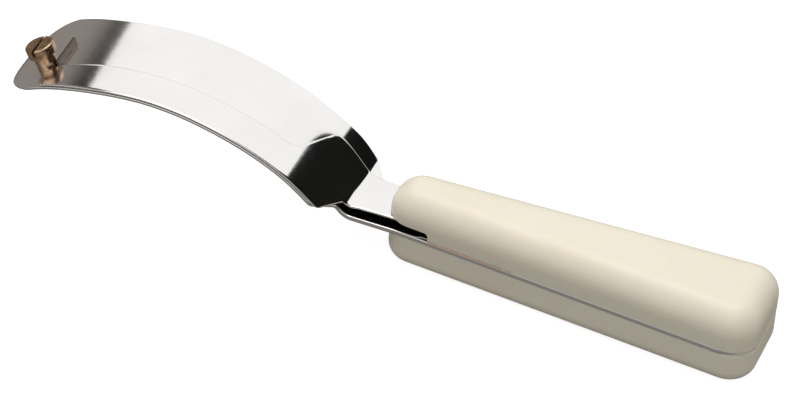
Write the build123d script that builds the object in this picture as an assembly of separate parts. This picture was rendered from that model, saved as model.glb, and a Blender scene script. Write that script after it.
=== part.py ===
from build123d import *

import math
import os

# Arched two-leaf spatula knife with a riveted-on spring leaf, a brass tip screw
# and a two-scale plastic handle.  Millimetres.
#
# Frame: the origin is the centre of the flat underside of the lower handle
# scale, the face the tool rests on.  +X runs along the handle to the butt, the
# blade tip is at -X, +Z is up, and the tool's width is Y.

# ---------------------------------------------------------------- handle
handle_length = 116.0
front_half_width = 8.9  # of the handle, at the end next to the blade
butt_half_width = 16.3
front_corner_radius = 8.2
butt_corner_radius = 8.6
lower_scale_height = 11.2
upper_scale_height = 12.1
lower_edge_radius = 4.6  # rounding of the lower scale's bottom edge
upper_edge_radius = 7.8  # rounding of the upper scale's top edge

# ---------------------------------------------------------------- metal
tang_thickness = 1.6
blade_thickness = 0.9  # over the arch; the neck tapers from the tang to this
tang_butt_inset = 0.35  # the tang stops this far inside the scales at the butt
tang_corner_radius = 9.5
neck_half_width = 9.3
tang_narrowing = 4.0  # behind the handle's front end, where the tang starts to follow it
rear_shoulder_x = -64.6  # where the neck starts to widen, on either edge
front_shoulder_x = -73.0
rear_heel_x = -70.4  # where the blade reaches its full width
front_heel_x = -77.8
shoulder_radius = 2.5
rear_heel_radius = 4.5
front_heel_radius = 3.0
blade_half_width = 17.8

leaf_thickness = 0.7
leaf_gap = 0.25  # between the spring leaf and the blade under it
leaf_neck_height = 2.0  # from the tang up to the underside of the leaf's neck
leaf_neck_half_width = 7.0
leaf_tang_half_width = 6.2
leaf_tang_start = 11.3  # from the handle's front end
leaf_end_room = 1.5  # between the leaf's inner end and the end of its pocket
leaf_rear_edge = -5.7  # y of the edge that runs along the middle of the blade
leaf_end_rear_edge = -7.9  # y of the same edge at the leaf's end, where it narrows
leaf_end_bevel = 1.5
leaf_rise_start = 6.0  # along the arch line: where the leaf's curve joins it
leaf_bend_reach = 1.5  # from the corner of the leaf's neck bend to either end of it

# The arch.  Its line is the blade's underside, and it is measured along the
# line from where the straight rise out of the neck would meet the tang.
arch_start_x = -66.7
arch_start_slope = 39.1  # degrees
bend_rates = {  # distance along the line: degrees of turn per millimetre there
    0.0: 0.0,
    16.0: 0.35,
    28.0: 0.87,
    36.0: 0.77,
    48.0: 0.48,
    70.0: 0.89,
    88.0: 0.32,
    100.0: 0.65,
    112.0: 1.82,
    130.0: 3.31,
}
arch_step = 0.25  # of the integration along the line
station_gap = 4.0  # between the points that the sheets' curves go through
tip_points = 17  # that the tip's outline goes through
blade_join = 18.5  # along the line, where the blade's own neck reaches the arch
neck_bend_angle = 55.0  # degrees that the blade turns up out of the tang
neck_bend_radius = 6.0
flat_lead = 2.0  # of flat sheet that each bend's curve starts from
tip_start = 104.5  # along the line: where the round tip starts, in mid-width
tip_reach = 17.5  # from there to the end of the tip
tip_half_width = 18.5  # of the rounding, which starts just outside the sheet
tip_skew = 0.5  # the tip starts this much later at the front edge, earlier at the rear
leaf_narrowing = 91.0  # along the line: where the spring leaf starts to narrow
leaf_end = 105.25  # along the line: where its top face ends

# ---------------------------------------------------------------- tip screw
screw_station = 107.75  # along the line
screw_y = -6.5
head_radius = 4.4
head_height = 3.2
slot_width = 0.9
slot_depth = 2.1
shank_radius = 2.0
thread_fit = 0.05  # radial clearance of the shank in the collar
collar_radius = 3.2
collar_height = 4.2
spigot_radius = 2.6  # of the collar where it goes through the blade
peened_rim_radius = 3.1
peened_rim_height = 0.5
washer_radius = 3.45
washer_thickness = 0.35
screw_clearance = 0.3  # round the head, in the notch at the leaf's end
shank_beyond_rim = 1.2

# ---------------------------------------------------------------- stop tab
tab_station = 103.75  # along the line
tab_y = (-7.4, 5.1)
tab_height = 2.2
tab_thickness = 0.8
tenon_length = 2.4
tenon_places = (-4.2, 2.0)

# ---------------------------------------------------------------- inside the handle
mouth_length = 14.3  # the open recess under the upper scale's front end
mouth_height = 3.1
mouth_corner_radius = 1.2
pocket_length = 38.0  # from the recess on, under the upper scale
pocket_half_width = 6.5
fit_gap = 0.05
pocket_high = leaf_neck_height + leaf_thickness + fit_gap
spacer_front_length = 2.5
spacer_front_half_width = 8.9
spacer_flange_thickness = 0.35
spacer_flange_length = 27.0
rivet_radius = 1.5
rivet_head_radius = 2.5
rivet_head_height = 0.8
rivet_places = (22.0, 44.0)  # from the handle's front end
scale_screw_places = (33.0, 97.0)
scale_screw_radius = 2.0
scale_screw_head_radius = 3.8
scale_screw_head_depth = 2.2
scale_screw_recess = 0.6  # the heads sit this far inside the lower scale
insert_radius = 3.0
insert_height = 7.0

handle_front = -handle_length / 2
handle_butt = handle_length / 2
tang_bottom = lower_scale_height
tang_top = tang_bottom + tang_thickness
handle_top = tang_top + upper_scale_height
leaf_inner_end = handle_front + mouth_length + pocket_length - leaf_end_room
beyond_tip = -200.0  # x past the end of the blade
wide = 60.0  # more than any width of the tool
tall = 80.0  # more than any height of it


# ---------------------------------------------------------------- the arch line
def bend_rate(s):
    """Degrees of turn per millimetre, s along the arch line."""
    knots = list(bend_rates)
    for s0, s1 in zip(knots, knots[1:]):
        if s <= s1:
            share = (s - s0) / (s1 - s0)
            return bend_rates[s0] + (bend_rates[s1] - bend_rates[s0]) * share
    return bend_rates[knots[-1]]


def integrate_arch():
    stations = [(arch_start_x, tang_bottom, math.radians(arch_start_slope))]
    for i in range(round(max(bend_rates) / arch_step)):
        x, z, slope = stations[-1]
        turn = math.radians(bend_rate((i + 0.5) * arch_step) * arch_step)
        x -= arch_step * math.cos(slope - turn / 2)
        z += arch_step * math.sin(slope - turn / 2)
        stations.append((x, z, slope - turn))
    return stations


arch_stations = integrate_arch()


def arch(s, lift=0.0):
    """The point (x, z) on the arch line at s, lifted off it along its normal."""
    x, z, slope = arch_stations[round(s / arch_step)]
    return x + lift * math.sin(slope), z + lift * math.cos(slope)


def arch_slope(s):
    return arch_stations[round(s / arch_step)][2]


def stations_from(s):
    """Distances along the arch line, evenly spaced from s to the line's end."""
    count = int((max(bend_rates) - s) / station_gap)
    return [s + station_gap * i for i in range(count + 1)]


def arch_plane(s, y, lift):
    """A plane lying on the sheet at s, its z axis the sheet's upward normal."""
    x, z = arch(s, lift)
    slope = arch_slope(s)
    return Plane(
        origin=(x, y, z),
        x_dir=(math.cos(slope), 0, -math.sin(slope)),
        z_dir=(math.sin(slope), 0, math.cos(slope)),
    )


# ---------------------------------------------------------------- the blade's own neck
join_x, join_z = arch(blade_join)
join_slope = arch_slope(blade_join)
bend_angle = math.radians(neck_bend_angle)
bend_end_z = tang_bottom + neck_bend_radius * (1 - math.cos(bend_angle))
rise_chord = (join_z - bend_end_z) / math.sin((bend_angle + join_slope) / 2)
bend_end_x = join_x + rise_chord * math.cos((bend_angle + join_slope) / 2)
bend_start_x = bend_end_x + neck_bend_radius * math.sin(bend_angle)
rise_radius = rise_chord / 2 / math.sin((bend_angle - join_slope) / 2)


def neck_line():
    """Points (x, z, slope) of the blade's underside from the tang to the arch."""
    points = []
    for i in range(0, 7):
        a = bend_angle * i / 6
        x = bend_start_x - neck_bend_radius * math.sin(a)
        z = tang_bottom + neck_bend_radius * (1 - math.cos(a))
        points.append((x, z, a))
    for i in range(1, 5):
        turned = (bend_angle - join_slope) * i / 4
        chord = 2 * rise_radius * math.sin(turned / 2)
        x = bend_end_x - chord * math.cos(bend_angle - turned / 2)
        z = bend_end_z + chord * math.sin(bend_angle - turned / 2)
        points.append((x, z, bend_angle - turned))
    return points


def blade_sheet():
    """The blade's side profile, pushed out over more than its width."""
    neck = neck_line()
    line = list(neck)
    for s in stations_from(blade_join)[1:]:
        x, z = arch(s)
        line.append((x, z, arch_slope(s)))
    underside = [(bend_start_x + flat_lead, tang_bottom)]
    upper_side = [(bend_start_x + flat_lead, tang_top)]
    for i, (x, z, slope) in enumerate(line):
        taper = min(1.0, i / len(neck))
        thickness = tang_thickness + (blade_thickness - tang_thickness) * taper
        underside.append((x, z))
        upper_side.append((x + thickness * math.sin(slope), z + thickness * math.cos(slope)))
    tang_end = handle_butt - tang_butt_inset
    with BuildPart() as sheet:
        with BuildSketch(Plane.XZ):
            with BuildLine():
                low = Spline(underside)
                high = Spline(upper_side)
                Line(low @ 1, high @ 1)
                Polyline(low @ 0, (tang_end, tang_bottom), (tang_end, tang_top), high @ 0)
            make_face()
        extrude(amount=wide / 2, both=True)
    return sheet.part


def half_width(x):
    """Half the handle's width at x, and the tang's with it."""
    share = (x - handle_front) / handle_length
    return front_half_width + (butt_half_width - front_half_width) * share


def plan_prism(points, corners, bottom=-5.0, top=tall):
    """A closed outline of (x, y) points with rounded corners, pushed up.

    corners names the points that are rounded, as (x, y, radius).
    """
    with BuildPart() as prism:
        with BuildSketch(Plane.XY.offset(bottom)) as outline:
            with BuildLine():
                Polyline(*points, close=True)
            make_face()
            for x, y, radius in corners:
                fillet(outline.vertices().sort_by_distance((x, y, bottom))[0], radius)
        extrude(amount=top - bottom)
    return prism.part


def blade_outline():
    """The blade from above: tang, neck, uneven shoulders, and wide sheet."""
    tang_end = handle_butt - tang_butt_inset
    neck_x = handle_front + tang_narrowing
    rear_heel = (rear_heel_x, blade_half_width)
    front_heel = (front_heel_x, -blade_half_width)
    points = [
        (tang_end, -half_width(tang_end)),
        (tang_end, half_width(tang_end)),
        (neck_x, half_width(neck_x)),
        (rear_shoulder_x, neck_half_width),
        rear_heel,
        (beyond_tip, blade_half_width),
        (beyond_tip, -blade_half_width),
        front_heel,
        (front_shoulder_x, -neck_half_width),
        (neck_x, -half_width(neck_x)),
    ]
    corners = [
        (*points[0], tang_corner_radius),
        (*points[1], tang_corner_radius),
        (*points[3], shoulder_radius),
        (*rear_heel, rear_heel_radius),
        (*front_heel, front_heel_radius),
        (*points[8], shoulder_radius),
    ]
    return plan_prism(points, corners)


def tip_waste():
    """What is cut off the end of the sheet to leave the half-round tip."""
    middle = tip_start + tip_reach / 3
    plane = arch_plane(middle, 0, 0)
    origin_x, origin_z = arch(middle)
    slope = arch_slope(middle)

    def along(s):
        x, z = arch(s)
        return (x - origin_x) * math.cos(slope) - (z - origin_z) * math.sin(slope)

    rim = []
    for i in range(tip_points):
        angle = math.pi * i / (tip_points - 1)
        s = tip_start - tip_skew * math.cos(angle) + tip_reach * math.sin(angle)
        rim.append((along(s), tip_half_width * math.cos(angle)))
    with BuildPart() as waste:
        with BuildSketch(plane):
            with BuildLine():
                Spline(rim)
                Polyline(
                    rim[-1],
                    (rim[-1][0], -wide),
                    (-wide, -wide),
                    (-wide, wide),
                    (rim[0][0], wide),
                    rim[0],
                )
            make_face()
        extrude(amount=12, both=True)
    return waste.part


def cylinder(plane, radius, low, high):
    """A cylinder about the plane's z axis, from low to high along it."""
    body = Cylinder(radius, high - low, align=(Align.CENTER, Align.CENTER, Align.MIN))
    return plane.location * Pos(0, 0, low) * body


def block(plane, x_span, y_span, z_span):
    """A box between the given coordinates of the plane."""
    size = [span[1] - span[0] for span in (x_span, y_span, z_span)]
    body = Box(*size, align=(Align.MIN, Align.MIN, Align.MIN))
    return plane.location * Pos(x_span[0], y_span[0], z_span[0]) * body


screw_plane = arch_plane(screw_station, screw_y, blade_thickness)
tab_plane = arch_plane(tab_station, 0, blade_thickness)


def handle_plane(distance):
    """The plane on top of the tang, at a distance from the handle's front end."""
    return Plane(origin=(handle_front + distance, 0, tang_top))


# ---------------------------------------------------------------- blade
def make_blade():
    blade = blade_sheet() & blade_outline()
    blade -= tip_waste()
    blade -= cylinder(screw_plane, spigot_radius, -3, 3)
    for y in tenon_places:
        blade -= block(
            tab_plane,
            (-tab_thickness / 2, tab_thickness / 2),
            (y - tenon_length / 2, y + tenon_length / 2),
            (-3, 3),
        )
    for place in rivet_places:
        blade -= cylinder(handle_plane(place), rivet_radius, -3, 3)
    for place in scale_screw_places:
        blade -= cylinder(handle_plane(place), scale_screw_radius + fit_gap, -3, 3)
    return blade


# ---------------------------------------------------------------- stop tab
def make_stop_tab():
    tab = block(tab_plane, (-tab_thickness / 2, tab_thickness / 2), tab_y, (0, tab_height))
    for y in tenon_places:
        tab += block(
            tab_plane,
            (-tab_thickness / 2, tab_thickness / 2),
            (y - tenon_length / 2, y + tenon_length / 2),
            (-blade_thickness, 0.2),
        )
    return tab


# ---------------------------------------------------------------- tip screw and what it turns in
def make_tip_collar():
    collar = cylinder(screw_plane, collar_radius, fit_gap, collar_height)
    collar += cylinder(screw_plane, spigot_radius, -blade_thickness - fit_gap, 1.0)
    rim_low = -blade_thickness - fit_gap - peened_rim_height
    collar += cylinder(screw_plane, peened_rim_radius, rim_low, -blade_thickness - fit_gap)
    collar -= cylinder(screw_plane, shank_radius + thread_fit, -5, collar_height + 1)
    return collar


def make_tip_washer():
    low = collar_height + 0.02
    washer = cylinder(screw_plane, washer_radius, low, low + washer_thickness)
    washer -= cylinder(screw_plane, shank_radius + thread_fit, 0, collar_height + 2)
    return washer


def make_tip_screw():
    head_low = collar_height + washer_thickness + 0.04
    head_top = head_low + head_height
    shank_low = -blade_thickness - peened_rim_height - shank_beyond_rim
    head = cylinder(screw_plane, head_radius, head_low, head_top)
    head = chamfer(head.edges().group_by(lambda e: -distance_along(e))[0], 0.35)
    shank = cylinder(screw_plane, shank_radius, shank_low, head_low + 0.5)
    slot = block(
        screw_plane,
        (-slot_width / 2, slot_width / 2),
        (-head_radius - 1, head_radius + 1),
        (head_top - slot_depth, head_top + 1),
    )
    return head + shank - slot


def distance_along(edge):
    """How far an edge's centre lies up the screw's axis."""
    return (edge.center() - screw_plane.origin).dot(screw_plane.z_dir)


# ---------------------------------------------------------------- spring leaf
def leaf_sheet():
    """The spring leaf's side profile, pushed out over more than its width."""
    under = tang_top + leaf_neck_height
    lift = blade_thickness + leaf_gap
    first_x, first_z = arch(leaf_rise_start, lift)
    slope = arch_slope(leaf_rise_start)
    # The rise meets the flat neck at a corner, which a short bend rounds off.
    corner_x = first_x + (first_z - under) / math.tan(slope)
    flat_end_x = corner_x + leaf_bend_reach
    bend_radius = leaf_bend_reach / math.tan(slope / 2)
    bend_x = flat_end_x - bend_radius * math.sin(slope / 2)
    bend_z = under + bend_radius * (1 - math.cos(slope / 2))
    low = [(flat_end_x + flat_lead, under), (flat_end_x, under), (bend_x, bend_z)]
    high = [(x, z + leaf_thickness) for x, z in low[:2]]
    high.append(
        (
            bend_x + leaf_thickness * math.sin(slope / 2),
            bend_z + leaf_thickness * math.cos(slope / 2),
        )
    )
    for s in stations_from(leaf_rise_start):
        if s < leaf_end - station_gap / 2:
            low.append(arch(s, lift))
            high.append(arch(s, lift + leaf_thickness))
    low.append(arch(leaf_end + leaf_end_bevel, lift))
    high.append(arch(leaf_end, lift + leaf_thickness))
    with BuildPart() as sheet:
        with BuildSketch(Plane.XZ):
            with BuildLine():
                lower = Spline(low)
                upper = Spline(high)
                Line(lower @ 1, upper @ 1)
                Polyline(
                    lower @ 0,
                    (leaf_inner_end, under),
                    (leaf_inner_end, under + leaf_thickness),
                    upper @ 0,
                )
            make_face()
        extrude(amount=wide / 2, both=True)
    return sheet.part


def leaf_outline():
    """The spring leaf from above: strip, flared head, neck and tang."""
    tang_x = handle_front + leaf_tang_start
    points = [
        (leaf_inner_end, -leaf_tang_half_width),
        (leaf_inner_end, leaf_tang_half_width),
        (tang_x, leaf_tang_half_width),
        (tang_x - 1.5, leaf_neck_half_width - 0.2),
        (-65.4, leaf_neck_half_width + 0.6),
        (-68.6, 8.4),
        (-81.2, 11.2),
        (-88.6, leaf_rear_edge),
        (arch(leaf_narrowing)[0], leaf_rear_edge),
        (arch(leaf_end)[0], leaf_end_rear_edge),
        (beyond_tip, leaf_end_rear_edge),
        (beyond_tip, -blade_half_width),
        (-75.6, -blade_half_width),
        (-71.2, -8.2),
        (-66.5, -leaf_neck_half_width - 0.3),
        (tang_x - 1.5, -leaf_neck_half_width + 0.2),
        (tang_x, -leaf_tang_half_width),
    ]
    corners = [
        (*points[0], 2.0),
        (*points[1], 2.0),
        (*points[5], 2.0),
        (*points[6], 3.0),
        (*points[7], 5.0),
        (*points[12], 3.2),
        (*points[13], 2.0),
    ]
    return plan_prism(points, corners)


def make_spring_leaf():
    leaf = leaf_sheet() & leaf_outline()
    for place in rivet_places:
        leaf -= cylinder(handle_plane(place), rivet_radius + fit_gap, 0, 5)
    leaf -= cylinder(screw_plane, head_radius + screw_clearance, 0, collar_height)
    leaf -= cylinder(handle_plane(scale_screw_places[0]), scale_screw_radius + 2 * fit_gap, 0, 5)
    return leaf


# ---------------------------------------------------------------- handle scales
def scale_blank(low, high, edge_radius, rounded_top):
    points = [
        (handle_front, -front_half_width),
        (handle_butt, -butt_half_width),
        (handle_butt, butt_half_width),
        (handle_front, front_half_width),
    ]
    corners = [
        (*points[0], front_corner_radius),
        (*points[1], butt_corner_radius),
        (*points[2], butt_corner_radius),
        (*points[3], front_corner_radius),
    ]
    blank = plan_prism(points, corners, low, high)
    faces = blank.faces().sort_by(Axis.Z)
    outer = faces[-1] if rounded_top else faces[0]
    return fillet(outer.edges(), edge_radius)


def make_upper_scale():
    scale = scale_blank(tang_top, handle_top, upper_edge_radius, True)
    base = handle_plane(0)
    mouth = block(base, (-5, mouth_length), (-wide / 2, wide / 2), (-1, mouth_height))
    inner_edge = mouth.edges().filter_by(Axis.Y).sort_by(Axis.X)[-2:].sort_by(Axis.Z)[-1]
    scale -= fillet(inner_edge, mouth_corner_radius)
    pocket_end = mouth_length + pocket_length
    pocket = (-pocket_half_width, pocket_half_width)
    scale -= block(base, (mouth_length - 2, pocket_end), pocket, (-1, pocket_high))
    front_room = spacer_front_half_width + fit_gap
    front_end = mouth_length + spacer_front_length + fit_gap
    scale -= block(base, (0, front_end), (-front_room, front_room), (-1, pocket_high))
    flange_end = mouth_length + spacer_flange_length
    flange_high = spacer_flange_thickness
    scale -= block(base, (0, flange_end), (-wide / 2, wide / 2), (-1, flange_high))
    for place in rivet_places:
        relief_high = pocket_high + rivet_head_height + 0.2
        scale -= cylinder(handle_plane(place), rivet_head_radius + 0.3, 0, relief_high)
    for place in scale_screw_places:
        scale -= cylinder(handle_plane(place), insert_radius, 0, insert_top(place))
    return scale


def insert_low(place):
    """How far above the tang the insert starts: over the leaf, or on the tang."""
    over_leaf = place < mouth_length + pocket_length
    return leaf_neck_height + leaf_thickness + 2 * fit_gap if over_leaf else 0.02


def insert_top(place):
    return insert_low(place) + insert_height


def make_lower_scale():
    scale = scale_blank(0, lower_scale_height, lower_edge_radius, False)
    for place in scale_screw_places:
        at_floor = Plane(origin=(handle_front + place, 0, 0))
        head_end = scale_screw_recess + scale_screw_head_depth
        scale -= cylinder(at_floor, scale_screw_radius + 2 * fit_gap, -1, lower_scale_height + 1)
        scale -= cylinder(at_floor, scale_screw_head_radius + 0.1, -1, scale_screw_recess)
        scale -= at_floor.location * Pos(0, 0, scale_screw_recess) * head_cone(0.1, head_end)
    return scale


def head_cone(grow, head_end):
    """A countersunk head, its wide side down, starting at z = 0."""
    return Cone(
        scale_screw_head_radius + grow,
        scale_screw_radius + grow,
        head_end - scale_screw_recess,
        align=(Align.CENTER, Align.CENTER, Align.MIN),
    )


# ---------------------------------------------------------------- between the scales
def make_leaf_spacer():
    base = handle_plane(0)
    body_end = mouth_length + pocket_length - 0.3
    body_half = pocket_half_width - fit_gap
    body_high = leaf_neck_height - fit_gap
    spacer = block(base, (mouth_length, body_end), (-body_half, body_half), (0, body_high))
    # The wide front of the spacer is what shows in the recess, and its thin
    # flange shows as a line along the sides of the handle.
    front = (mouth_length, mouth_length + spacer_front_length)
    front_half = spacer_front_half_width
    spacer += block(base, front, (-front_half, front_half), (0, pocket_high - fit_gap))
    flange_end = mouth_length + spacer_flange_length - fit_gap
    flange = block(
        base,
        (mouth_length, flange_end),
        (-wide / 2, wide / 2),
        (0, spacer_flange_thickness),
    )
    outline = scale_blank(tang_top, handle_top, upper_edge_radius, True)
    spacer += flange & outline
    leaf_way = (body_high, mouth_height + 1)
    spacer -= block(base, (0, body_end), (-body_half, body_half), leaf_way)
    for place in rivet_places:
        spacer -= cylinder(handle_plane(place), rivet_radius, -1, 5)
    spacer -= cylinder(handle_plane(scale_screw_places[0]), scale_screw_radius + fit_gap, -1, 5)
    return spacer


def make_leaf_rivets():
    rivets = []
    for place in rivet_places:
        plane = handle_plane(place)
        head_low = leaf_neck_height + leaf_thickness + 0.02
        rivet = cylinder(plane, rivet_radius, -tang_thickness, head_low + 0.1)
        rivet += cylinder(plane, rivet_head_radius, head_low, head_low + rivet_head_height)
        rivets.append(rivet)
    return Compound(children=rivets)


def make_scale_screws():
    screws = []
    for place in scale_screw_places:
        plane = Plane(origin=(handle_front + place, 0, scale_screw_recess))
        shank_end = tang_top + insert_top(place) - 1.5 - scale_screw_recess
        head = head_cone(0, scale_screw_recess + scale_screw_head_depth)
        screw = plane.location * head + cylinder(plane, scale_screw_radius, 1, shank_end)
        screw -= block(plane, (-0.5, 0.5), (-5, 5), (-1, 1.1))
        screws.append(screw)
    return Compound(children=screws)


def make_scale_inserts():
    inserts = []
    for place in scale_screw_places:
        plane = handle_plane(place)
        insert = cylinder(plane, insert_radius, insert_low(place), insert_top(place))
        insert -= cylinder(plane, scale_screw_radius, -1, insert_top(place) - 1.2)
        inserts.append(insert)
    return Compound(children=inserts)


# ---------------------------------------------------------------- export
nodes = {
    "blade": make_blade,
    "stop_tab": make_stop_tab,
    "tip_collar": make_tip_collar,
    "tip_washer": make_tip_washer,
    "tip_screw": make_tip_screw,
    "spring_leaf": make_spring_leaf,
    "upper_scale": make_upper_scale,
    "lower_scale": make_lower_scale,
    "leaf_spacer": make_leaf_spacer,
    "leaf_rivets": make_leaf_rivets,
    "scale_screws": make_scale_screws,
    "scale_inserts": make_scale_inserts,
}

os.makedirs("parts", exist_ok=True)
for name, make in nodes.items():
    export_step(make(), f"parts/{name}.step")

axis = screw_plane.z_dir
print("screw base", [round(v, 3) for v in screw_plane.origin], "axis", [round(v, 5) for v in axis])
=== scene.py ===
import bisect
import math

import bmesh
import bpy
from mathutils import Matrix, Vector


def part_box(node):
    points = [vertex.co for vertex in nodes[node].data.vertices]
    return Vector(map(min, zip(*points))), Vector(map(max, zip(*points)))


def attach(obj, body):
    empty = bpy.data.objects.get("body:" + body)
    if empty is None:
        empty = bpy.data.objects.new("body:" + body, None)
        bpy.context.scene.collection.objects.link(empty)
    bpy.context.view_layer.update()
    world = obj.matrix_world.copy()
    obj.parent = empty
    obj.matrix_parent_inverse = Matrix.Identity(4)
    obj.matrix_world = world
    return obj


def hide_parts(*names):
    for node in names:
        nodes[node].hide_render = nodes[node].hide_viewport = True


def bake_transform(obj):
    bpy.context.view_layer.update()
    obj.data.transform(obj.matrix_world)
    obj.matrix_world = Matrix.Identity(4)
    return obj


# Arched two-leaf spatula knife.  Metres, in the CAD frame: the origin is the
# centre of the handle's underside, +X runs to the butt, +Z is up.

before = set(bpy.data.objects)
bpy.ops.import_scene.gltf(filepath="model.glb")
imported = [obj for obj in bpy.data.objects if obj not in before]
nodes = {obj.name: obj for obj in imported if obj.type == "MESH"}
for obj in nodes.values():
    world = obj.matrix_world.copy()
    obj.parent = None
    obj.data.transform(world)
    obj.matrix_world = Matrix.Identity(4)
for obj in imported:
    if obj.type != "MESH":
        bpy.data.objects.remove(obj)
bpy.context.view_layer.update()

# ---------------------------------------------------------------- sizes of the CAD model
handle_length = 0.116
handle_front = -handle_length / 2
handle_butt = handle_length / 2
front_half_width = 0.0089
butt_half_width = 0.0163
butt_corner_radius = 0.0095
tang_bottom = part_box("lower_scale")[1].z
tang_thickness = 0.0016
tang_top = tang_bottom + tang_thickness
tang_butt_inset = 0.00035
blade_thickness = 0.0009
blade_half_width = 0.0178
neck_half_width = 0.0093

leaf_thickness = 0.0007
leaf_gap = 0.00025
leaf_neck_height = 0.0020
leaf_neck_half_width = 0.0070
leaf_tang_half_width = 0.0062
leaf_rear_edge = -0.0057
leaf_narrowing = 0.091
leaf_end = 0.10525
leaf_rise_start = 0.006
leaf_bend_reach = 0.0015
leaf_inner_end = -0.0072
mouth_end = -0.0437  # x of the inner end of the recess's mouth
leaf_tang_end = mouth_end - 0.003
leaf_taper = 0.0015  # length over which the tang widens to the neck
leaf_neck_inset = 0.0002
leaf_rear_neck_flare = 0.0006
leaf_front_neck_flare = 0.0003
leaf_bend_x = -0.062  # the leaf's mesh is cut finely from here to its end

# Corners of the outlines: x on the underside of each sheet.
blade_neck_start = handle_front + 0.004
blade_rear_neck_end = -0.0646
blade_rear_heel = -0.0704
blade_front_neck_end = -0.0730
blade_front_heel = -0.0778
leaf_rear_neck_end = -0.0654
leaf_shoulder = (-0.0686, 0.0084)  # x, y
leaf_head = (-0.0812, 0.0112)
leaf_head_end = -0.0886
leaf_front_heel = -0.0756
leaf_front_shoulder = (-0.0712, -0.0082)
leaf_front_neck_end = -0.0665

arch_start_x = -0.0667
arch_start_slope = 39.1
bend_rates = {0.0: 0, 0.016: 350, 0.028: 870, 0.036: 770, 0.048: 480, 0.070: 890, 0.088: 320,
              0.100: 650, 0.112: 1820, 0.130: 3310}
arch_step = 0.00025
blade_join = 0.0185
neck_bend_angle = math.radians(55.0)
neck_bend_radius = 0.006
tip_start = 0.1045
tip_reach = 0.0172  # the CAD has 0.0175: this mesh has to stay inside its box
tip_half_width = 0.0185
tip_skew = 0.0005
heel_twist = 0.0005  # the rear edge stands this much high at the heel, and the front edge low
twist_span = (-0.002, 0.011)  # y over which the sheets go from low to high
twist_end = 0.026  # along the arch: the twist is gone here
twist_fade = 0.014
leaf_twist_start = -0.002
leaf_twist_rise = 0.016

screw_station = 0.10775
screw_y = -0.0065
screw_notch_radius = 0.0047
tab_station = 0.10375
tab_y = (-0.0074, 0.0051)
tab_height = 0.0022
tab_thickness = 0.0008
tenon_places = (-0.0042, 0.0020)
tenon_half_length = 0.0012

# ---------------------------------------------------------------- fineness of the meshes
blade_edge_round = 0.00022
leaf_edge_round = 0.0004
tab_edge_round = 0.00018
bend_strip = 0.0006  # longest piece of a sheet where it is curved
tang_strip = 0.02
leaf_tang_strip = 0.004
twist_strip = 0.0013
bend_steps = 24
rim_width = 2.2  # of the ring beside the rounded rim, times the rounding
rim_depth = 0.28  # of the rounding, as a share of the sheet's thickness
rim_rounds = 4
tip_angle_step = 0.06
notch_angles = (195, 238)  # degrees round the screw
notch_angle_step = 0.1
butt_cut = 0.012  # first cut across the blade, in from the butt
leaf_first_cut = 0.003
leaf_reference = 0.02  # where the leaf's own line is matched to the arch


# ---------------------------------------------------------------- lines of the two sheets
class Line:
    """The underside of a sheet seen from the side, by the distance along it."""

    def __init__(self, points):
        self.points = points
        self.distances = [0.0]
        for (x0, z0, _), (x1, z1, _) in zip(points, points[1:]):
            self.distances.append(self.distances[-1] + math.hypot(x1 - x0, z1 - z0))
        self.reach = [-x for x, z, slope in points]

    def between(self, keys, value):
        i = min(max(bisect.bisect_right(keys, value), 1), len(keys) - 1)
        return i, (value - keys[i - 1]) / (keys[i] - keys[i - 1])

    def at(self, distance):
        """x, z and slope there; past either end it runs on straight."""
        i, share = self.between(self.distances, distance)
        a, b = self.points[i - 1], self.points[i]
        return tuple(p + (q - p) * share for p, q in zip(a, b))

    def distance_at(self, x):
        i, share = self.between(self.reach, -x)
        return self.distances[i - 1] + (self.distances[i] - self.distances[i - 1]) * share


def bend_rate(s):
    """Degrees of turn per metre, s along the arch."""
    knots = list(bend_rates)
    for s0, s1 in zip(knots, knots[1:]):
        if s <= s1:
            share = (s - s0) / (s1 - s0)
            return bend_rates[s0] + (bend_rates[s1] - bend_rates[s0]) * share
    return bend_rates[knots[-1]]


def integrate_arch():
    stations = [(arch_start_x, tang_bottom, math.radians(arch_start_slope))]
    for i in range(round(max(bend_rates) / arch_step)):
        x, z, slope = stations[-1]
        turn = math.radians(bend_rate((i + 0.5) * arch_step) * arch_step)
        x -= arch_step * math.cos(slope - turn / 2)
        z += arch_step * math.sin(slope - turn / 2)
        stations.append((x, z, slope - turn))
    return stations


arch_stations = integrate_arch()


def arch(s, lift=0.0):
    """x, z and slope of the arch at s, lifted off it along its normal."""
    x, z, slope = arch_stations[round(s / arch_step)]
    return x + lift * math.sin(slope), z + lift * math.cos(slope), slope


def arc(x, z, angle, turn, radius, steps):
    """Points after (x, z) on an arc that starts at slope angle and turns by turn."""
    points = []
    for i in range(1, steps + 1):
        part = turn * i / steps
        chord = 2 * radius * math.sin(part / 2)
        points.append((x - chord * math.cos(angle + part / 2),
                       z + chord * math.sin(angle + part / 2), angle + part))
    return points


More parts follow.
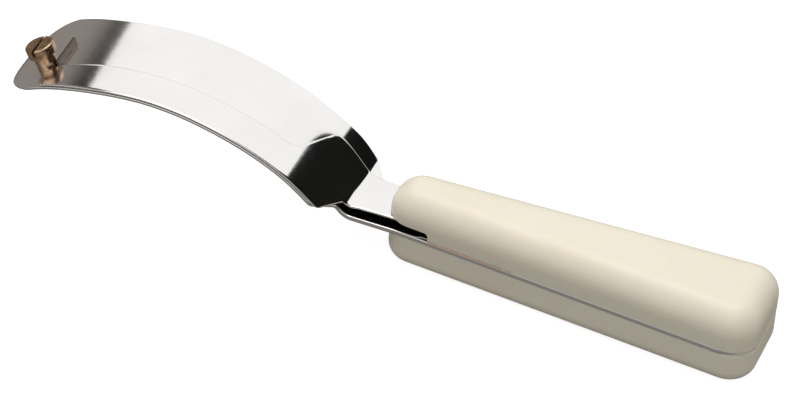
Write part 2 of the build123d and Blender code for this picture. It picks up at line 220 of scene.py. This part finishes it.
def make_blade_line():
    join_x, join_z, join_slope = arch(blade_join)
    turn = neck_bend_angle - join_slope
    bend_end_z = tang_bottom + neck_bend_radius * (1 - math.cos(neck_bend_angle))
    middle = (neck_bend_angle + join_slope) / 2
    chord = (join_z - bend_end_z) / math.sin(middle)
    bend_start_x = join_x + chord * math.cos(middle)
    bend_start_x += neck_bend_radius * math.sin(neck_bend_angle)
    points = [(handle_butt, tang_bottom, 0.0), (bend_start_x, tang_bottom, 0.0)]
    points += arc(bend_start_x, tang_bottom, 0.0, neck_bend_angle, neck_bend_radius, bend_steps)
    x, z, slope = points[-1]
    rise_radius = chord / 2 / math.sin(turn / 2)
    rise = arc(x, z, -neck_bend_angle, turn, rise_radius, bend_steps)
    # A curve that turns down is the mirror image of one that turns up.
    points += [(px, 2 * z - pz, -angle) for px, pz, angle in rise]
    start = round(blade_join / arch_step) + 1
    points += arch_stations[start:]
    line = Line(points)
    line.bend_start = line.distance_at(bend_start_x)
    line.join = line.distance_at(join_x)
    return line


def make_leaf_line():
    lift = blade_thickness + leaf_gap
    under = tang_top + leaf_neck_height
    x_first, z_first, slope = arch(leaf_rise_start, lift)
    corner_x = x_first + (z_first - under) / math.tan(slope)
    bend = leaf_bend_reach
    points = [(leaf_inner_end, under, 0.0), (corner_x + bend, under, 0.0)]
    points += arc(corner_x + bend, under, 0.0, slope, bend / math.tan(slope / 2), bend_steps)
    for i in range(round(leaf_rise_start / arch_step) + 1, len(arch_stations)):
        points.append(arch(i * arch_step, lift))
    return Line(points)


blade_line = make_blade_line()
leaf_line = make_leaf_line()
blade_arch_offset = blade_line.join - blade_join


def on_leaf(s):
    """The distance along the leaf's line of the point over s on the arch."""
    return leaf_line.distance_at(arch(s, blade_thickness + leaf_gap)[0])


def smooth(value):
    share = min(1.0, max(0.0, value))
    return share * share * (3 - 2 * share)


def twist(s, y, rise):
    """How far the sheets are pushed along their normal near the heel.

    rise, from 0 to 1, is how much of it has grown up the neck.
    """
    aside = 2 * smooth((y - twist_span[0]) / (twist_span[1] - twist_span[0])) - 1
    return heel_twist * aside * smooth((twist_end - s) / twist_fade) * smooth(rise)


# ---------------------------------------------------------------- outlines
def rounded(corners, steps=10):
    """A closed outline from (u, y, radius) corners, each rounded by an arc."""
    outline = []
    for i, (u, y, radius) in enumerate(corners):
        here = Vector((u, y))
        if radius == 0:
            outline.append(here)
            continue
        before = Vector(corners[i - 1][:2])
        after = Vector(corners[(i + 1) % len(corners)][:2])
        back = (before - here).normalized()
        on = (after - here).normalized()
        half = back.angle(on) / 2
        centre = here + (back + on).normalized() * radius / math.sin(half)
        start = here + back * radius / math.tan(half) - centre
        end = here + on * radius / math.tan(half) - centre
        sweep = start.angle_signed(end)
        for k in range(steps + 1):
            a = -sweep * k / steps
            outline.append(centre + Vector((start.x * math.cos(a) - start.y * math.sin(a),
                                            start.x * math.sin(a) + start.y * math.cos(a))))
    return outline


def inset(outline, amount):
    """The outline moved inwards; it runs clockwise seen from +Z when u points left."""
    moved = []
    count = len(outline)
    for i, here in enumerate(outline):
        back = (here - outline[i - 1]).normalized()
        on = (outline[(i + 1) % count] - here).normalized()
        normal = Vector((back.y + on.y, -back.x - on.x)).normalized()
        cos_half = max(0.5, normal.dot(Vector((back.y, -back.x))))
        moved.append(here - normal * amount / cos_half)
    return moved


def area(outline):
    pairs = zip(outline, outline[1:] + outline[:1])
    return sum(a.x * b.y - b.x * a.y for a, b in pairs) / 2


def sheet_mesh(name, outline, edge, place, cuts=(), lengthwise=()):
    """A sheet from its flat outline, with rounded edges, cut into strips and then bent by place.

    place takes the distance along the sheet, y, and the share of the thickness.
    The rim's faces take the second material.  No holes are cut, unlike in the CAD: the
    screw, the collar and the rivets pass straight through the sheet.
    """
    if area(outline) < 0:
        outline = outline[::-1]
    profile = [(rim_width * edge, 0.0)]
    for k in range(rim_rounds + 1):
        a = math.pi / 2 * k / rim_rounds
        profile.append((edge * (1 - math.sin(a)), rim_depth * (1 - math.cos(a))))
    profile += [(offset, 1 - share) for offset, share in reversed(profile)]
    bm = bmesh.new()
    rings = []
    for offset, share in profile:
        ring = inset(outline, offset) if offset else outline
        rings.append([bm.verts.new((p.x, p.y, share)) for p in ring])
    count = len(outline)
    for k, (low, high) in enumerate(zip(rings, rings[1:])):
        for i in range(count):
            j = (i + 1) % count
            face = bm.faces.new((low[i], low[j], high[j], high[i]))
            face.material_index = 0 if k in (0, len(rings) - 2) else 1
    bm.faces.new(rings[0][::-1])
    bm.faces.new(rings[-1])
    for u in cuts:
        geometry = bm.verts[:] + bm.edges[:] + bm.faces[:]
        bmesh.ops.bisect_plane(bm, geom=geometry, dist=1e-7,
                               plane_co=(u, 0, 0), plane_no=(1, 0, 0))
    for y in lengthwise:
        geometry = bm.verts[:] + bm.edges[:] + bm.faces[:]
        bmesh.ops.bisect_plane(bm, geom=geometry, dist=1e-7,
                               plane_co=(0, y, 0), plane_no=(0, 1, 0))
    for vert in bm.verts:
        vert.co = place(*vert.co)
    bmesh.ops.recalc_face_normals(bm, faces=bm.faces[:])
    return finish_mesh(name, bm)


def finish_mesh(name, bm, weighted=True):
    mesh = bpy.data.meshes.new(name)
    bm.to_mesh(mesh)
    bm.free()
    mesh.polygons.foreach_set("use_smooth", [True] * len(mesh.polygons))
    obj = bpy.data.objects.new(name, mesh)
    bpy.context.scene.collection.objects.link(obj)
    if weighted:
        modifier = obj.modifiers.new("weighted_normals", "WEIGHTED_NORMAL")
        modifier.mode = "FACE_AREA"
        modifier.weight = 100
    return obj


def spaced(start, end, step):
    count = max(1, math.ceil((end - start) / step))
    return [start + (end - start) * i / count for i in range(count + 1)]


def half_width(x):
    share = (x - handle_front) / handle_length
    return front_half_width + (butt_half_width - front_half_width) * share


# ---------------------------------------------------------------- blade
def make_blade():
    def u(x):
        return blade_line.distance_at(x)

    tang_end = handle_butt - tang_butt_inset
    tip = []
    first = math.acos(blade_half_width / tip_half_width)
    for angle in spaced(first, math.pi - first, tip_angle_step):
        s = tip_start - tip_skew * math.cos(angle) + tip_reach * math.sin(angle)
        tip.append((blade_arch_offset + s, tip_half_width * math.cos(angle), 0))
    corners = [
        (u(tang_end), -half_width(tang_end), butt_corner_radius),
        (u(tang_end), half_width(tang_end), butt_corner_radius),
        (u(blade_neck_start), half_width(blade_neck_start), 0.004),
        (u(blade_rear_neck_end), neck_half_width, 0.0025),
        (u(blade_rear_heel), blade_half_width, 0.0045),
        *tip,
        (u(blade_front_heel), -blade_half_width, 0.003),
        (u(blade_front_neck_end), -neck_half_width, 0.0025),
        (u(blade_neck_start), -half_width(blade_neck_start), 0.004),
    ]

    def place(distance, y, share):
        x, z, slope = blade_line.at(distance)
        thinned = distance - blade_line.bend_start
        thinned /= blade_line.join - blade_line.bend_start
        thinned = min(1.0, max(0.0, thinned))
        lift = share * (tang_thickness + (blade_thickness - tang_thickness) * thinned)
        lift += twist(distance - blade_arch_offset, y, thinned)
        return x + lift * math.sin(slope), y, z + lift * math.cos(slope)

    end = blade_arch_offset + tip_start + tip_reach
    cuts = spaced(u(handle_butt - butt_cut), blade_line.bend_start, tang_strip)
    cuts += spaced(blade_line.bend_start, end, bend_strip)[:-1]
    lengthwise = spaced(*twist_span, twist_strip)
    return sheet_mesh("blade_sheet", rounded(corners), blade_edge_round, place, cuts, lengthwise)


# ---------------------------------------------------------------- spring leaf
def make_leaf():
    def u(x):
        return leaf_line.distance_at(x)

    end = on_leaf(leaf_end)
    centre_u = on_leaf(screw_station)
    notch = []
    for angle in spaced(*map(math.radians, notch_angles), notch_angle_step):
        notch.append((centre_u + screw_notch_radius * math.cos(angle),
                      screw_y + screw_notch_radius * math.sin(angle), 0))
    low = -blade_half_width
    corners = [
        (u(leaf_inner_end), -leaf_tang_half_width, 0.002),
        (u(leaf_inner_end), leaf_tang_half_width, 0.002),
        (u(leaf_tang_end), leaf_tang_half_width, 0),
        (u(leaf_tang_end - leaf_taper), leaf_neck_half_width - leaf_neck_inset, 0),
        (u(leaf_rear_neck_end), leaf_neck_half_width + leaf_rear_neck_flare, 0.003),
        (u(leaf_shoulder[0]), leaf_shoulder[1], 0.002),
        (u(leaf_head[0]), leaf_head[1], 0.003),
        (u(leaf_head_end), leaf_rear_edge, 0.005),
        (on_leaf(leaf_narrowing), leaf_rear_edge, 0.010),
        *notch,
        (end, low, 0.0004),
        (u(leaf_front_heel), low, 0.0032),
        (u(leaf_front_shoulder[0]), leaf_front_shoulder[1], 0.002),
        (u(leaf_front_neck_end), -leaf_neck_half_width - leaf_front_neck_flare, 0.002),
        (u(leaf_tang_end - leaf_taper), -leaf_neck_half_width + leaf_neck_inset, 0),
        (u(leaf_tang_end), -leaf_tang_half_width, 0),
    ]

    bend = u(leaf_bend_x)

    def place(distance, y, share):
        x, z, slope = leaf_line.at(distance)
        s = distance - on_leaf(leaf_reference) + leaf_reference
        lift = share * leaf_thickness
        lift += twist(s, y, (s - leaf_twist_start) / leaf_twist_rise)
        return x + lift * math.sin(slope), y, z + lift * math.cos(slope)

    cuts = spaced(u(leaf_inner_end) + leaf_first_cut, bend, leaf_tang_strip)
    cuts += spaced(bend, end, bend_strip)[1:-1]
    lengthwise = spaced(*twist_span, twist_strip)
    return sheet_mesh("spring_leaf_sheet", rounded(corners), leaf_edge_round, place, cuts,
                      lengthwise)


# ---------------------------------------------------------------- stop tab
def make_tab():
    """The upright plate with its two tenons, its outline standing across the blade."""
    x, z, slope = arch(tab_station, blade_thickness)
    root = -blade_thickness
    corners = [(tab_y[0], tab_height, 0.0004), (tab_y[1], tab_height, 0.0004), (tab_y[1], 0, 0)]
    for middle in reversed(tenon_places):
        corners += [(middle + tenon_half_length, 0, 0), (middle + tenon_half_length, root, 0),
                    (middle - tenon_half_length, root, 0), (middle - tenon_half_length, 0, 0)]
    corners.append((tab_y[0], 0, 0))

    def place(y, height, share):
        aside = (share - 0.5) * tab_thickness
        return (x + height * math.sin(slope) + aside * math.cos(slope), y,
                z + height * math.cos(slope) - aside * math.sin(slope))

    return sheet_mesh("stop_tab_plate", rounded(corners), tab_edge_round, place)


# ---------------------------------------------------------------- material helpers
haze_start_x = -0.150
haze_full_x = -0.166


class Shader:
    """A Principled material with short calls for its procedural nodes."""

    def __init__(self, name):
        self.material = bpy.data.materials.new(name)
        self.material.use_nodes = True
        self.tree = self.material.node_tree
        self.principled = self.tree.nodes["Principled BSDF"]

    def node(self, kind, inputs=(), **settings):
        made = self.tree.nodes.new(kind)
        for key, value in settings.items():
            setattr(made, key, value)
        for key, value in dict(inputs).items():
            if isinstance(value, bpy.types.NodeSocket):
                self.tree.links.new(value, made.inputs[key])
            else:
                made.inputs[key].default_value = value
        return made

    def put(self, **inputs):
        """Constants and links on the Principled's own sockets, _ for a space."""
        for key, value in inputs.items():
            socket = self.principled.inputs[key.replace("_", " ")]
            if isinstance(value, bpy.types.NodeSocket):
                self.tree.links.new(value, socket)
            else:
                socket.default_value = value

    def place(self, scale=(1, 1, 1), turn=(0, 0, 0)):
        coordinates = self.node("ShaderNodeTexCoord")
        mapping = self.node("ShaderNodeMapping", {"Vector": coordinates.outputs["Object"],
                                                  "Scale": scale, "Rotation": turn})
        return mapping.outputs["Vector"]

    def noise(self, scale, detail=4.0, roughness=0.55, vector=None):
        vector = vector or self.place()
        made = self.node("ShaderNodeTexNoise", {"Vector": vector, "Scale": scale, "Detail": detail,
                                                "Roughness": roughness})
        return made.outputs["Fac"]

    def ramp(self, factor, stops):
        made = self.node("ShaderNodeValToRGB", {"Fac": factor})
        elements = made.color_ramp.elements
        while len(elements) < len(stops):
            elements.new(0.5)
        for element, (position, colour) in zip(elements, stops):
            element.position = position
            element.color = (*colour, 1.0)
        return made.outputs["Color"]

    def span(self, factor, low, high):
        """factor from 0..1 to low..high."""
        made = self.node("ShaderNodeMapRange", {"Value": factor, "To Min": low, "To Max": high})
        return made.outputs["Result"]

    def bump(self, height, distance, strength=1.0, under=None):
        inputs = {"Height": height, "Distance": distance, "Strength": strength}
        if under is not None:
            inputs["Normal"] = under
        return self.node("ShaderNodeBump", inputs).outputs["Normal"]


def steel(name, tint, rough_low, rough_high, tip_haze=0.0, metallic=1.0):
    """Mirror-polished sheet: long fine polishing lines, faint waviness, and wiped haze.

    tip_haze is roughness added towards the tip.
    """
    shader = Shader(name)
    haze = shader.noise(60.0, 5.0)
    colour = shader.ramp(haze, [(0.3, tint), (0.7, tuple(0.95 * c for c in tint))])
    lines = shader.noise(1.0, 3.0, 0.6, shader.place((900.0, 9000.0, 900.0)))
    waves = shader.noise(420.0, 3.0, 0.6)
    normal = shader.bump(waves, 0.00001, 0.35)
    normal = shader.bump(lines, 0.0000012, 0.5, normal)
    roughness = shader.span(haze, rough_low, rough_high)
    if tip_haze:
        coordinates = shader.node("ShaderNodeTexCoord")
        split = shader.node("ShaderNodeSeparateXYZ", {"Vector": coordinates.outputs["Object"]})
        dulled = shader.node("ShaderNodeMapRange", {"Value": split.outputs["X"],
                                                    "From Min": haze_start_x,
                                                    "From Max": haze_full_x, "To Max": tip_haze})
        total = shader.node("ShaderNodeMath", {0: roughness, 1: dulled.outputs["Result"]})
        roughness = total.outputs["Value"]
    shader.put(Base_Color=colour, Metallic=metallic, Roughness=roughness, Normal=normal)
    return shader.material


def brass_material():
    """Turned brass, dulled brown, with brighter rubbed places."""
    shader = Shader("aged_brass")
    patches = shader.noise(520.0, 5.0, 0.65)
    colour = shader.ramp(patches, [(0.30, (0.26, 0.155, 0.09)), (0.5, (0.50, 0.33, 0.20)),
                                   (0.72, (0.68, 0.50, 0.34))])
    fine = shader.noise(2600.0, 3.0)
    normal = shader.bump(fine, 0.00002, 0.35)
    shader.put(Base_Color=colour, Metallic=1.0, Roughness=shader.span(patches, 0.16, 0.34),
               Normal=normal)
    return shader.material


def cream_material():
    """Cream moulded plastic with faint clouding, fine pores and handling marks."""
    shader = Shader("cream_plastic")
    clouds = shader.noise(28.0, 4.0)
    colour = shader.ramp(clouds, [(0.3, (0.66, 0.61, 0.495)), (0.7, (0.69, 0.645, 0.535))])
    fine = shader.noise(900.0, 4.0, 0.6)
    wear = shader.noise(150.0, 4.0)
    normal = shader.bump(fine, 0.00003, 0.25)
    shader.put(Base_Color=colour, Roughness=shader.span(wear, 0.33, 0.47), Normal=normal,
               Subsurface_Weight=0.35, Subsurface_Radius=(1.0, 0.55, 0.25),
               Subsurface_Scale=0.0035, IOR=1.5)
    return shader.material


def fibre_material():
    shader = Shader("amber_fibre")
    strands = shader.noise(1.0, 5.0, 0.6, shader.place((350.0, 350.0, 2600.0)))
    colour = shader.ramp(strands, [(0.3, (0.36, 0.11, 0.025)), (0.7, (0.72, 0.28, 0.07))])
    normal = shader.bump(strands, 0.00004, 0.5)
    shader.put(Base_Color=colour, Roughness=shader.span(strands, 0.42, 0.6), Normal=normal)
    return shader.material


def fastener_material():
    shader = Shader("fastener_steel")
    patches = shader.noise(700.0, 4.0)
    colour = shader.ramp(patches, [(0.3, (0.42, 0.41, 0.40)), (0.7, (0.60, 0.59, 0.57))])
    normal = shader.bump(patches, 0.00002, 0.4)
    shader.put(Base_Color=colour, Metallic=1.0, Roughness=shader.span(patches, 0.22, 0.38),
               Normal=normal)
    return shader.material


def give(obj, *materials):
    obj.data.materials.clear()
    for material in materials:
        obj.data.materials.append(material)


# ---------------------------------------------------------------- the object
blade_steel = steel("polished_steel", (0.92, 0.905, 0.89), 0.045, 0.085, 0.13)
leaf_steel = steel("spring_steel", (0.91, 0.895, 0.88), 0.045, 0.085, 0.13)
# Dark brown tab: painted shade and dark reflection on the tab's faces, the steel tinted far darker
# than it is.
painted_dark_tab_steel = steel("painted_dark_tab_steel", (0.16, 0.12, 0.10), 0.22, 0.30)
# Near-black brown rims on both sheets: painted shade and dark reflection along the edges of the
# blade and the leaf.
painted_shade_rim_steel = steel("painted_shade_rim", (0.075, 0.060, 0.048), 0.22, 0.34)
# Mostly not metal: a near-white rim, a painted highlight standing in for the bright line on the
# tab's top.
painted_highlight_rim = steel("painted_highlight_rim", (0.97, 0.96, 0.94), 0.42, 0.52, metallic=0.1)
brass = brass_material()
cream = cream_material()
fibre = fibre_material()
fastener_steel = fastener_material()

blade = make_blade()
give(blade, blade_steel, painted_shade_rim_steel)
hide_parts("blade")
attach(blade, "tool")

leaf = make_leaf()
give(leaf, leaf_steel, painted_shade_rim_steel)
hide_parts("spring_leaf")
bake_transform(leaf)

tab = make_tab()
give(tab, painted_dark_tab_steel, painted_highlight_rim)
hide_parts("stop_tab")
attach(tab, "tool")

finishes = {
    "tip_collar": brass,
    "tip_washer": brass,
    "tip_screw": brass,
    "upper_scale": cream,
    "lower_scale": cream,
    "leaf_spacer": fibre,
    "leaf_rivets": fastener_steel,
    "scale_screws": fastener_steel,
    "scale_inserts": brass,
}
for node_name, material in finishes.items():
    node = nodes[node_name]
    if not node.data.materials:
        node.data.materials.append(material)
    for i in range(len(node.data.materials)):
        node.data.materials[i] = material

# ---------------------------------------------------------------- floor, cards and light
centre = Vector((-0.0565, 0.0, 0.016))
floor_half = 12.0
floor_height = -0.0001
card_distance = 30.0  # far off, so that almost only directions matter in a reflection
card_steps = 40


def stage_plane(name, half, height):
    bm = bmesh.new()
    bmesh.ops.create_grid(bm, x_segments=4, y_segments=4, size=half)
    bmesh.ops.translate(bm, verts=bm.verts[:], vec=(0, 0, height))
    obj = finish_mesh(name, bm, weighted=False)
    return obj


floor = stage_plane("floor", floor_half, floor_height)
floor_shader = Shader("floor_paper")
paper = floor_shader.noise(3.0, 3.0)
pale = floor_shader.ramp(paper, [(0.0, (0.40, 0.40, 0.40)), (1.0, (0.42, 0.42, 0.42))])
floor_shader.put(Base_Color=pale, Roughness=0.9, Specular_IOR_Level=0.1,
                 Emission_Color=(1.0, 1.0, 1.0, 1.0), Emission_Strength=0.82)
give(floor, floor_shader.material)
floor.visible_diffuse = False
floor.visible_glossy = False


def direction(azimuth, elevation):
    """Azimuth 0 looks along +Y and 90 along +X."""
    a, e = math.radians(azimuth), math.radians(elevation)
    return Vector((math.sin(a) * math.cos(e), math.cos(a) * math.cos(e), math.sin(e)))


def reflection_card(name, azimuths, elevations, stops):
    """A curved card round the object that only reflections see.

    stops run along its azimuth.
    """
    steps = card_steps
    bm = bmesh.new()
    uv = bm.loops.layers.uv.new("UVMap")
    grid = []
    for i in range(steps + 1):
        share = i / steps
        azimuth = azimuths[0] + (azimuths[1] - azimuths[0]) * share
        column = []
        for j in range(steps + 1):
            elevation = elevations[0] + (elevations[1] - elevations[0]) * j / steps
            column.append(bm.verts.new(centre + direction(azimuth, elevation) * card_distance))
        grid.append(column)
    for i in range(steps):
        for j in range(steps):
            corners = ((0, 0), (1, 0), (1, 1), (0, 1))
            face = bm.faces.new([grid[i + di][j + dj] for di, dj in corners])
            for loop, (di, dj) in zip(face.loops, corners):
                loop[uv].uv = ((i + di) / steps, (j + dj) / steps)
    card = finish_mesh(name, bm, weighted=False)
    shader = Shader(name + "_paper")
    coordinates = shader.node("ShaderNodeTexCoord")
    along = shader.node("ShaderNodeSeparateXYZ", {"Vector": coordinates.outputs["UV"]})
    colour = shader.ramp(along.outputs["X"], stops)
    shader.put(Base_Color=(0, 0, 0, 1), Roughness=1.0, Specular_IOR_Level=0.0,
               Emission_Color=colour, Emission_Strength=1.0)
    give(card, shader.material)
    card.visible_camera = False
    card.visible_diffuse = False
    card.visible_shadow = False
    card.visible_transmission = False
    card.visible_volume_scatter = False
    return card


black = (0.006, 0.007, 0.006)
brown_black = (0.022, 0.016, 0.012)
tip_grey = (0.25, 0.225, 0.205)
reflection_card("dark_card", (34.0, 125.0), (-40.0, 75.0), [(0.0, black), (1.0, black)])
reflection_card("grey_card", (-37.0, -125.0), (-60.0, 75.0),
                [(0.0, brown_black), (0.016, brown_black), (0.045, tip_grey), (1.0, tip_grey)])


def make_world():
    """Soft white overhead and darker below the horizon; the camera sees plain white."""
    world = bpy.data.worlds.new("studio")
    bpy.context.scene.world = world
    world.use_nodes = True
    tree = world.node_tree
    background = tree.nodes["Background"]
    coordinates = tree.nodes.new("ShaderNodeTexCoord")
    split = tree.nodes.new("ShaderNodeSeparateXYZ")
    ramp = tree.nodes.new("ShaderNodeValToRGB")
    height = tree.nodes.new("ShaderNodeMapRange")
    height.inputs["From Min"].default_value = -1.0
    path = tree.nodes.new("ShaderNodeLightPath")
    mix = tree.nodes.new("ShaderNodeMix")
    mix.data_type = "RGBA"
    tree.links.new(coordinates.outputs["Generated"], split.inputs["Vector"])
    tree.links.new(split.outputs["Z"], height.inputs["Value"])
    tree.links.new(height.outputs["Result"], ramp.inputs["Fac"])
    stops = [(0.42, (0.20, 0.19, 0.175)), (0.52, (0.40, 0.39, 0.37)), (0.70, (1.0, 1.0, 1.0))]
    elements = ramp.color_ramp.elements
    elements.new(0.5)
    for element, (position, colour) in zip(elements, stops):
        element.position = position
        element.color = (*colour, 1.0)
    tree.links.new(path.outputs["Is Camera Ray"], mix.inputs["Factor"])
    tree.links.new(ramp.outputs["Color"], mix.inputs["A"])
    mix.inputs["B"].default_value = (1.0, 1.0, 1.0, 1.0)
    tree.links.new(mix.outputs["Result"], background.inputs["Color"])
    background.inputs["Strength"].default_value = 1.0


def soft_light(name, azimuth, elevation, distance, size, power):
    light = bpy.data.lights.new(name, "AREA")
    light.shape = "DISK"
    light.size = size
    light.energy = power
    obj = bpy.data.objects.new(name, light)
    back = direction(azimuth, elevation)
    obj.location = centre + back * distance
    obj.rotation_mode = "QUATERNION"
    obj.rotation_quaternion = back.to_track_quat("Z", "Y")
    bpy.context.scene.collection.objects.link(obj)


make_world()
soft_light("overhead", -40.0, 68.0, 1.4, 1.1, 8.0)

# ---------------------------------------------------------------- camera
camera_azimuth = math.radians(18.59)
camera_elevation = math.radians(41.01)
camera_roll = math.radians(5.15)
camera_target = Vector((-0.05646, 0.00029, 0.01613))
camera_distance = 1.5
camera_lens = 231.08


def make_camera():
    look = Vector((-math.sin(camera_azimuth) * math.cos(camera_elevation),
                   math.cos(camera_azimuth) * math.cos(camera_elevation),
                   -math.sin(camera_elevation)))
    level = Vector((math.cos(camera_azimuth), math.sin(camera_azimuth), 0))
    upright = level.cross(look)
    right = level * math.cos(camera_roll) + upright * math.sin(camera_roll)
    up = upright * math.cos(camera_roll) - level * math.sin(camera_roll)
    data = bpy.data.cameras.new("camera")
    data.lens = camera_lens
    data.sensor_width = 36.0
    data.clip_start = 0.05
    data.clip_end = 60.0
    camera = bpy.data.objects.new("camera", data)
    bpy.context.scene.collection.objects.link(camera)
    turn = Matrix((right, up, -look)).transposed().to_4x4()
    camera.matrix_world = Matrix.Translation(camera_target - look * camera_distance) @ turn
    bpy.context.scene.camera = camera


make_camera()
bpy.context.scene.view_settings.view_transform = "Standard"
